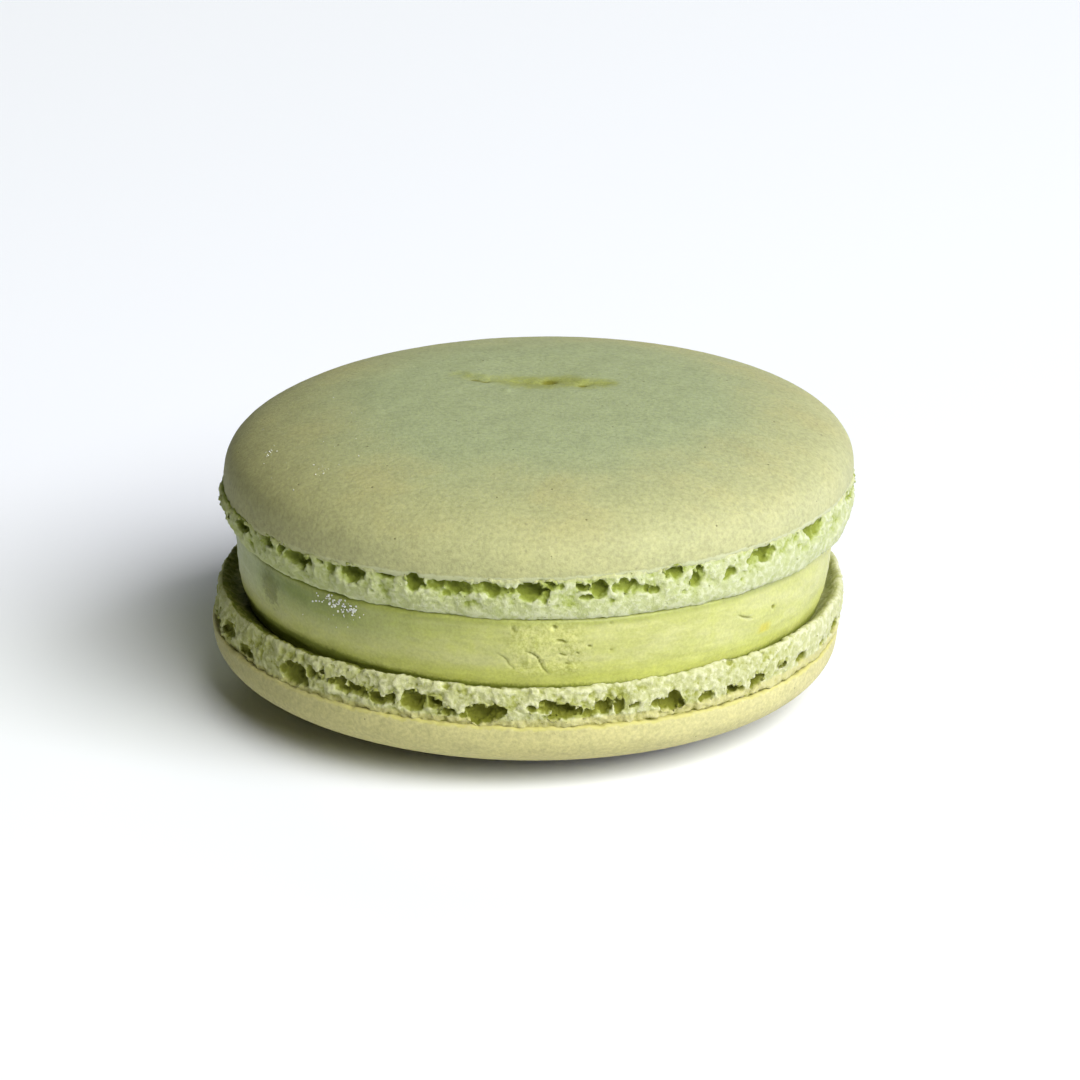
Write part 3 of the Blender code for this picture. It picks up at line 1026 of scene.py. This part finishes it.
def make_cream():
    outline = [(CREAM_TOP_RADIUS - 4.0 * MM, CREAM_TOP), (CREAM_TOP_RADIUS - 1.0 * MM, CREAM_TOP)]
    for row in range(CREAM_ROWS + 1):
        level = CREAM_TOP + (CREAM_BOTTOM - CREAM_TOP) * row / CREAM_ROWS
        outline.append((cream_reach(level), level))
    outline += [
        (CREAM_BOTTOM_RADIUS - 1.0 * MM, CREAM_BOTTOM),
        (CREAM_BOTTOM_RADIUS - 4.0 * MM, CREAM_BOTTOM),
    ]
    piece = pulled("cream_band", outline, CREAM_SPOKES, CREAM_AXIS)
    wander = swing(51, (2, 3, 5, 7))

    def change(radius, angle, z):
        outer = blend(CREAM_BOTTOM_RADIUS - 1.0 * MM, CREAM_BOTTOM_RADIUS - 0.2 * MM, radius)
        if outer == 0.0:
            return radius, angle, z
        around = Vector((*across(radius, angle), 0.0)) / MM
        high = z / MM
        wiped = noise.fractal(Vector((around.x / 6.0, around.y / 6.0, high / 0.8)), 1.0, 2.0, 4)
        dents = noise.noise(Vector((around.x / 2.5, around.y / 2.5, high / 1.5 + 9.0)))
        crumbs = noise.fractal(Vector((around.x, around.y, high + 30.0)) / 0.5, 0.8, 2.0, 4)
        patchy = blend(-0.15, 0.25, noise.noise(Vector((around.x, around.y, high + 70.0)) / 1.1))
        torn = torn_patch(radius, angle, z) * (0.35 + 0.65 * patchy)
        fine = noise.noise(Vector((around.x / 0.9, around.y / 0.9, high / 0.5 + 50.0)))
        relief = 0.10 * wander(angle) + 0.06 * wiped + 0.05 * dents + 0.02 * fine
        relief += 0.09 * torn * crumbs + 0.03 * torn
        pressed_in = PRESSED_IN[2] * bell(math.degrees(angle) - PRESSED_IN[0], PRESSED_IN[1])
        cut = cream_marks(radius, angle, z)
        return radius + outer * (relief - pressed_in - cut) * MM, angle, z

    paint_round(piece, CREAM_AXIS, torn=torn_patch, cracked=cream_marks, turned=degrees_round)
    reshape(piece, CREAM_AXIS, change)
    return closed(piece)


def scattered_grains(pattern, chance, count, size, spot):
    """Copies of the pattern by chance: spot draws the place of each, and gives the way out from there."""
    grains = []
    for _ in range(count):
        place, outward = spot()
        turn = Euler([chance.uniform(0.0, math.tau) for _ in range(3)])
        grain = [chance.uniform(*size) * chance.uniform(0.7, 1.3) * MM for _ in range(3)]
        grains.append(lump_at(pattern, place + outward * 0.3 * min(grain), turn, grain))
    return grains


def make_sugar():
    """Sugar crystals stuck to the cream's shaded side, and a little dust on the crown."""
    chance = random.Random(61)
    bpy.ops.object.select_all(action="DESELECT")
    bpy.ops.mesh.primitive_cube_add(size=1.0)
    pattern = bpy.context.active_object
    worked(pattern, "BEVEL", width=0.12, segments=1)

    def on_cream(middle, high, spread, rise):
        def spot():
            angle = math.radians(chance.gauss(middle, spread))
            z = min(chance.gauss(high, rise) * MM, FACE_TOP - 0.1 * MM)
            outward = Vector((*across(1.0, angle), 0.0))
            return Vector((*CREAM_AXIS, z)) + outward * cream_reach(z), outward

        return spot

    def on_crown(x, y, spread):
        def spot():
            place = Vector((chance.gauss(x, spread), chance.gauss(y, spread), 0.0)) * MM
            place *= min(1.0, (UPPER_RADIUS - 1.5 * MM) / place.length)
            z = crown_level(place.length, UPPER_RADIUS, UPPER_WIDEST, CROWN_TOP, UPPER_POWER)
            z += CROWN_SLOPE[0] * place.x + CROWN_SLOPE[1] * place.y
            return place + Vector((*UPPER_AXIS, z)), Vector((0.0, 0.0, 1.0))

        return spot

    grains = []
    for count, size, *where in CREAM_SUGAR:
        grains += scattered_grains(pattern, chance, count, size, on_cream(*where))
    for count, size, *where in CROWN_SUGAR:
        grains += scattered_grains(pattern, chance, count, size, on_crown(*where))
    bpy.data.objects.remove(pattern)
    return joined(grains, "sugar_grains")


# ---------------------------------------------------------------- finishes


class Wire:
    """A shader value that takes part in sums like a number."""

    def __init__(self, recipe, socket):
        self.recipe = recipe
        self.socket = socket

    def _sum(self, operation, first, second):
        node = self.recipe.add("ShaderNodeMath", {"operation": operation}, {0: first, 1: second})
        return Wire(self.recipe, node.outputs[0])

    def __add__(self, other):
        return self._sum("ADD", self, other)

    __radd__ = __add__

    def __sub__(self, other):
        return self._sum("SUBTRACT", self, other)

    def __rsub__(self, other):
        return self._sum("SUBTRACT", other, self)

    def __mul__(self, other):
        return self._sum("MULTIPLY", self, other)

    def __truediv__(self, other):
        return self._sum("DIVIDE", self, other)

    def ramp(self, start, end):
        """0 at start, 1 at end, with a smooth rise between."""
        values = {"Value": self, "From Min": start, "From Max": end}
        node = self.recipe.add("ShaderNodeMapRange", {"interpolation_type": "SMOOTHSTEP"}, values)
        return Wire(self.recipe, node.outputs[0])


class Recipe:
    """A food finish: a Principled shader and the pattern that feeds it."""

    def __init__(self, name, **constants):
        self.material = bpy.data.materials.new(name)
        self.material.use_nodes = True
        self.tree = self.material.node_tree
        self.shader = self.tree.nodes["Principled BSDF"]
        self.shader.inputs["Subsurface Radius"].default_value = (0.9, 1.0, 0.35)
        for socket, value in constants.items():
            self.shader.inputs[socket.replace("_", " ")].default_value = value
        self.place = self.add("ShaderNodeTexCoord").outputs["Object"]
        self.colour = None

    def add(self, kind, settings=None, values=None):
        """Adds a node with its settings, then its sockets' values or links."""
        node = self.tree.nodes.new(kind)
        for setting, value in (settings or {}).items():
            setattr(node, setting, value)
        for socket, value in (values or {}).items():
            self.feed(node.inputs[socket], value)
        return node

    def feed(self, socket, value):
        if isinstance(value, Wire):
            value = value.socket
        if isinstance(value, bpy.types.NodeSocket):
            self.tree.links.new(value, socket)
        elif isinstance(value, tuple) and len(value) == 3 and socket.type == "RGBA":
            socket.default_value = (*value, 1.0)
        else:
            socket.default_value = value

    def grain(self, size, detail=2.0, rough=0.5, stretch=(1.0, 1.0, 1.0)):
        """Noise from 0 to 1 whose grains are about size across."""
        spot = self.add("ShaderNodeMapping", {}, {"Vector": self.place, "Scale": stretch}).outputs[0]
        values = {"Vector": spot, "Scale": 1.0 / size, "Detail": detail, "Roughness": rough}
        return Wire(self, self.add("ShaderNodeTexNoise", {}, values).outputs[0])

    def specks(self, size):
        """Distance to scattered points about size apart, as a share of size."""
        values = {"Vector": self.place, "Scale": 1.0 / size}
        return Wire(self, self.add("ShaderNodeTexVoronoi", {}, values).outputs["Distance"])

    def mix(self, share, first, second, blend_type="MIX"):
        settings = {"data_type": "RGBA", "blend_type": blend_type}
        node = self.add("ShaderNodeMix", settings, {0: share, 6: first, 7: second})
        return node.outputs[2]

    def tint(self, share, colour, blend_type="MIX"):
        """Mixes a share of another colour into the finish's own."""
        self.colour = self.mix(share, self.colour, colour, blend_type)

    def away_from(self, axis):
        """Distance from an upright axis, in millimetres."""
        kind = "ShaderNodeVectorMath"
        centred = self.add(kind, {"operation": "SUBTRACT"}, {0: self.place, 1: (*axis, 0.0)})
        flattened = (1000.0, 1000.0, 0.0)
        flat = self.add(kind, {"operation": "MULTIPLY"}, {0: centred.outputs[0], 1: flattened})
        length = self.add(kind, {"operation": "LENGTH"}, {0: flat.outputs[0]})
        return Wire(self, length.outputs["Value"])

    def along(self, way):
        """How far right of the middle (X), behind it (Y) or above the table (Z), in millimetres."""
        parts = self.add("ShaderNodeSeparateXYZ", {}, {0: self.place})
        return Wire(self, parts.outputs[way]) * 1000.0

    def attribute(self, name):
        node = self.add("ShaderNodeAttribute", {"attribute_name": name})
        return Wire(self, node.outputs["Fac"])

    def finish(self, bump=None, reach=0.1 * MM, strength=1.0):
        self.feed(self.shader.inputs["Base Color"], self.colour)
        if bump is not None:
            values = {"Strength": strength, "Distance": reach, "Height": bump}
            node = self.add("ShaderNodeBump", {}, values)
            self.feed(self.shader.inputs["Normal"], node.outputs[0])
        return self.material


def grey(recipe, value):
    node = recipe.add("ShaderNodeCombineColor", {}, {0: value, 1: value, 2: value})
    return node.outputs[0]


def crust_finish(name, axis, inner, outer, tan, lip, lip_start, left_shade):
    """Matt almond crust: inner colour turning to outer towards the rim, tan in patches, lip at its edge.

    The last argument is how much painted shade, a brown tint, darkens it at the left, the side away from
    the lights."""
    recipe = Recipe(
        name, Roughness=0.65, Specular_IOR_Level=0.2, Subsurface_Weight=0.15, Subsurface_Scale=0.5 * MM
    )
    away = recipe.away_from(axis)
    broad = recipe.grain(7.0 * MM, 3.0)
    cloudy = recipe.grain(2.2 * MM, 3.0, 0.6)
    grain = recipe.grain(0.30 * MM, 3.0, 0.7)
    fine = recipe.grain(0.11 * MM, 2.0)
    pores = recipe.specks(1.6 * MM).ramp(0.055, 0.035)
    pinholes = recipe.specks(0.62 * MM).ramp(0.085, 0.05)
    recipe.colour = recipe.mix((away + (broad - 0.5) * 5.0).ramp(10.5, 21.5), inner, outer)
    # Tan in a belt near the rim, and painted shade at the left, the side away from the lights.
    tanned = (broad + (cloudy - 0.5) * 0.6).ramp(0.42, 0.68)
    tanned = tanned * away.ramp(11.0, 18.0) * away.ramp(24.0, 20.5)
    recipe.tint(tanned * 0.38, tan)
    side = recipe.along("X") + (broad - 0.5) * 6.0
    recipe.tint(side.ramp(-9.0, -21.0) * left_shade, PAINTED_SHADE_BROWN)
    # Stain along the crease and in its hollows.
    creased = recipe.attribute("creased")
    crumbs = recipe.grain(0.9 * MM, 3.0, 0.6)
    smudge = (creased * (crumbs * 1.6 + grain * 0.8 - 0.15)).ramp(0.22, 0.95)
    recipe.tint(smudge * 0.8, CREASE_OLIVE)
    recipe.tint(recipe.attribute("spotted").ramp(0.05, 0.17) * 0.85, SPOT_OLIVE)
    # Almond grain, pinholes and pores.
    flecks = recipe.specks(0.95 * MM).ramp(0.16, 0.07) * cloudy.ramp(0.30, 0.65)
    shade = 0.78 + grain.ramp(0.25, 0.75) * 0.31 + cloudy.ramp(0.3, 0.7) * 0.10 - flecks * 0.16
    recipe.tint(1.0, grey(recipe, shade), "MULTIPLY")
    recipe.tint(pinholes * cloudy.ramp(0.35, 0.6) * 0.35, PINHOLE_BROWN)
    recipe.tint(pores * 0.7, PORE_BROWN)
    # The foamy edge beside the foot, fading at the left as painted shade.
    foam = recipe.grain(0.7 * MM, 3.0, 0.65)
    edged = (recipe.attribute("rim") + (foam - 0.5) * 1.6).ramp(lip_start, lip_start + 0.35)
    recipe.tint(edged * (1.0 - side.ramp(-10.0, -18.0) * 0.75), lip)
    return recipe.finish(grain + fine * 0.4 - pores * 2.0 - pinholes * 0.6, 0.05 * MM, 0.7)


def foot_finish(name, pale, white, hollow, deep, crust, shaded_trough):
    """Baked foam: whitish on its lumps, partly painted highlight; greener in its creases and dark deep in
    its pockets, partly painted shade; a little greener at the left as painted shade; for the lower foot,
    damp and in painted shade behind its lip. Beside the crust it has some of the crust's colour."""
    recipe = Recipe(
        name, Roughness=0.7, Specular_IOR_Level=0.1, Subsurface_Weight=0.2, Subsurface_Scale=0.4 * MM
    )
    depth = recipe.attribute("depth")
    cloudy = recipe.grain(1.3 * MM, 3.0, 0.6)
    foam = recipe.grain(0.50 * MM, 3.0, 0.6)
    fine = recipe.grain(0.20 * MM, 3.0, 0.65)
    pits = recipe.specks(0.75 * MM).ramp(0.10, 0.05)
    small_pits = recipe.specks(0.42 * MM).ramp(0.13, 0.06) * cloudy.ramp(0.40, 0.60)
    reach = depth - 0.06 + (fine - 0.5) * 0.3 + (cloudy - 0.5) * 0.3
    crease = recipe.attribute("crease")
    # Whitish on the lumps and along the pockets' rims: partly the foam's own colour, partly painted
    # highlight.
    whitish = (foam + (fine - 0.5) * 0.4 - depth * 0.3 - crease * 2.0).ramp(0.42, 0.68)
    recipe.colour = recipe.mix(whitish * 0.8, pale, white)
    # Greener in the shallow hollows and between lumps, partly the crumb's own colour and partly painted
    # shade, and like the crust beside it.
    recipe.tint(cloudy.ramp(0.50, 0.70) * 0.35, hollow)
    recipe.tint(reach.ramp(0.03, 0.22) * 0.9, hollow)
    between = crease + (fine - 0.5) * 0.04
    recipe.tint(between.ramp(0.02, 0.09) * 0.5, hollow)
    beside = (recipe.attribute("edge") + (foam - 0.5) * 0.8).ramp(0.3, 0.8) * reach.ramp(0.45, 0.2)
    recipe.tint(beside * 0.8, crust)
    # Painted shade: dark in the pockets and deep creases, and a little greener at the left, the side away
    # from the lights.
    recipe.tint(between.ramp(0.07, 0.15) * 0.5, deep)
    recipe.tint((reach + crease).ramp(0.16, 0.46), deep)
    turned = recipe.attribute("turned") + (cloudy - 0.5) * 25.0
    recipe.tint(turned.ramp(-12.0, -60.0) * recipe.along("Y").ramp(14.0, 2.0) * 0.3, hollow)
    # Behind the lower foot's lip: damp and in painted shade, less so at the right.
    if shaded_trough:
        moist_shade = (recipe.attribute("inner") + (foam - 0.5) * 0.5 + (fine - 0.5) * 0.4).ramp(0.1, 0.6)
        mottled = (foam + (fine - 0.5) * 0.5).ramp(0.42, 0.62)
        trough_colour = recipe.mix(mottled, MOIST_SHADE_DEEP, MOIST_SHADE_PALE)
        recipe.tint(moist_shade * (1.0 - recipe.along("X").ramp(12.0, 20.0) * 0.65), trough_colour)
    # Painted shade in the small pits.
    recipe.tint(pits * 0.6, deep)
    recipe.tint(small_pits * 0.5, deep)
    return recipe.finish(foam * 0.8 + fine * 0.8 - pits * 0.8 - small_pits * 0.5, 0.10 * MM, 0.9)


def cream_finish():
    """Almond cream: smeared smooth, deeper yellow low down in part as a painted glow, olive painted shade
    at the left and along its seams, and olive in its cracks as painted shade.
    """
    recipe = Recipe(
        "cream", Roughness=0.45, Specular_IOR_Level=0.3, Subsurface_Weight=0.45, Subsurface_Scale=1.2 * MM
    )
    smear = recipe.grain(1.6 * MM, 5.0, 0.65, (0.3, 0.3, 1.0))
    cloudy = recipe.grain(1.3 * MM, 3.0, 0.6)
    broad = recipe.grain(3.0 * MM, 2.0)
    fine = recipe.grain(0.22 * MM, 4.0, 0.65)
    torn = recipe.attribute("torn")
    turned = recipe.attribute("turned")
    high = recipe.along("Z")
    recipe.colour = recipe.mix(smear.ramp(0.35, 0.7), CREAM_DEEP, CREAM_PALE)
    recipe.tint(cloudy.ramp(0.5, 0.75) * 0.4, CREAM_CLOUDED)
    # Olive painted shade at the left, and yellower low down, partly its own colour and partly a painted
    # glow.
    wavy = turned + (broad - 0.5) * 30.0
    ahead = (recipe.along("Y") + (broad - 0.5) * 8.0).ramp(14.0, 1.0)
    shaded = wavy.ramp(2.0, -55.0) * ahead * (high + (smear - 0.5) * 2.0).ramp(9.8, 12.6)
    recipe.tint(shaded, CREAM_SHADED)
    recipe.tint((high + (smear - 0.5) * 1.2).ramp(10.6, 8.8) * 0.75, CREAM_YELLOW)
    # Painted shade along the seams against the two feet, reaching higher at the left.
    left = wavy.ramp(-8.0, -50.0) * ahead
    seam_shade = (high + (fine - 0.5) * 0.4 - left * 0.6).ramp(8.55, 8.2)
    recipe.tint(seam_shade * 0.85, CREAM_FOOT_SEAM_SHADE)
    recipe.tint((high + (fine - 0.5) * 0.3).ramp(12.65, 13.1) * 0.65, CREAM_UPPER_SEAM_SHADE)
    # The torn patch, with specks of painted highlight and painted shade, and painted shade in the cracks.
    ragged = fine + (cloudy - 0.5) * 0.6
    recipe.tint(torn * ragged.ramp(0.4, 0.66) * 0.55, CREAM_TORN_HIGHLIGHT)
    recipe.tint(torn * ragged.ramp(0.5, 0.28) * 0.45, CREAM_TORN_SHADE)
    recipe.tint(recipe.attribute("cracked").ramp(0.03, 0.16) * 0.8, CREAM_CRACK_SHADE)
    # A paler band at the left, partly a smear and partly painted light that its rim catches, a darker
    # patch at the left, and a yellow spot at the right.
    smeared = turned + (smear - 0.5) * 9.0 + (cloudy - 0.5) * 5.0
    band = smeared.ramp(-61.0, -68.0) * smeared.ramp(-92.0, -74.0)
    band = band * (high + (cloudy - 0.5) * 2.0).ramp(9.6, 11.4)
    recipe.tint(band * ahead * 0.65, CREAM_SMEAR_AND_CAUGHT_LIGHT)
    sideways = (turned + (cloudy - 0.5) * 4.0 + 60.4) / 2.9
    upward = (high + (smear - 0.5) * 1.2 - 11.7) / 1.5
    patch = sideways * sideways + upward * upward + (fine - 0.5) * 2.0 + (cloudy - 0.5) * 1.5
    patch = patch.ramp(1.5, 0.3)
    recipe.tint(patch * ahead * 0.65, CREAM_PATCH)
    spot = turned.ramp(45.5, 47.5) * turned.ramp(50.5, 48.5) * high.ramp(9.5, 9.8) * high.ramp(10.5, 10.1)
    recipe.tint(spot * ahead * (0.5 + fine * 0.5) * 0.8, CREAM_SPOT)
    shade = 0.85 + fine.ramp(0.3, 0.7) * 0.18 + cloudy.ramp(0.35, 0.65) * 0.08
    recipe.tint(1.0, grey(recipe, shade), "MULTIPLY")
    return recipe.finish(smear + fine * (0.35 + torn * 0.5), 0.07 * MM, 0.8)


def sugar_finish():
    """Clear white sugar crystals."""
    constants = {"Subsurface_Weight": 0.2, "Subsurface_Scale": 0.2 * MM, "Transmission_Weight": 0.35}
    recipe = Recipe("sugar", Roughness=0.25, **constants)
    fine = recipe.grain(0.08 * MM, 2.0)
    recipe.colour = recipe.mix(fine, SUGAR_SHADED, SUGAR_WHITE)
    return recipe.finish(fine, 0.01 * MM, 0.4)


def plain_floor():
    bpy.ops.object.select_all(action="DESELECT")
    bpy.ops.mesh.primitive_plane_add(size=6.0, location=(0.0, 0.0, 0.0))
    floor = bpy.context.active_object
    floor.name = "floor"
    recipe = Recipe("pale_floor", Roughness=0.8)
    recipe.colour = FLOOR_COLOUR
    floor.data.materials.append(recipe.finish())


def light(name, azimuth, elevation, distance, width, height, power, colour):
    """A soft panel aimed at the biscuit; azimuth is degrees right of the front."""
    lamp = bpy.data.lights.new(name, "AREA")
    lamp.shape = "RECTANGLE"
    lamp.size = width
    lamp.size_y = height
    lamp.energy = power
    lamp.color = colour
    panel = bpy.data.objects.new(name, lamp)
    bpy.context.scene.collection.objects.link(panel)
    turn, rise = math.radians(azimuth), math.radians(elevation)
    way = Vector((math.sin(turn) * math.cos(rise), -math.cos(turn) * math.cos(rise), math.sin(rise)))
    panel.location = way * distance
    panel.rotation_euler = way.to_track_quat("Z", "Y").to_euler()


def studio():
    world = bpy.data.worlds.new("studio")
    bpy.context.scene.world = world
    world.use_nodes = True
    sky = world.node_tree.nodes["Background"]
    sky.inputs["Color"].default_value = SKY_COLOUR
    sky.inputs["Strength"].default_value = SKY_STRENGTH
    for values in LIGHTS:
        light(*values)


def camera():
    lens = bpy.data.cameras.new("camera")
    lens.sensor_width = 36.0
    lens.lens = CAMERA_LENS
    lens.clip_start = 0.01
    eye = bpy.data.objects.new("camera", lens)
    bpy.context.scene.collection.objects.link(eye)
    way = Vector((0.0, -math.cos(CAMERA_RISE), math.sin(CAMERA_RISE)))
    eye.location = Vector(CAMERA_AIM) + way * CAMERA_DISTANCE
    eye.rotation_euler = way.to_track_quat("Z", "Y").to_euler()
    bpy.context.scene.camera = eye
    bpy.context.scene.view_settings.view_transform = "Standard"


def dress(piece, node, material):
    piece.data.materials.clear()
    piece.data.materials.append(material)
    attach(piece, "root")
    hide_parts(node)


def main():
    camera()
    studio()
    plain_floor()
    upper_crust = crust_finish("upper_crust", UPPER_AXIS, **UPPER_CRUST_LOOK)
    dress(make_upper_crust(), "upper_shell", upper_crust)
    lower_crust = crust_finish("lower_crust", LOWER_CRUST_AXIS, **LOWER_CRUST_LOOK)
    dress(make_lower_crust(), "lower_shell", lower_crust)
    dress(make_upper_foot(), "upper_shell", foot_finish("upper_foot", **UPPER_FOOT_LOOK))
    dress(make_lower_foot(), "lower_shell", foot_finish("lower_foot", **LOWER_FOOT_LOOK))
    dress(make_cream(), "filling", cream_finish())
    dress(make_sugar(), "filling", sugar_finish())


main()
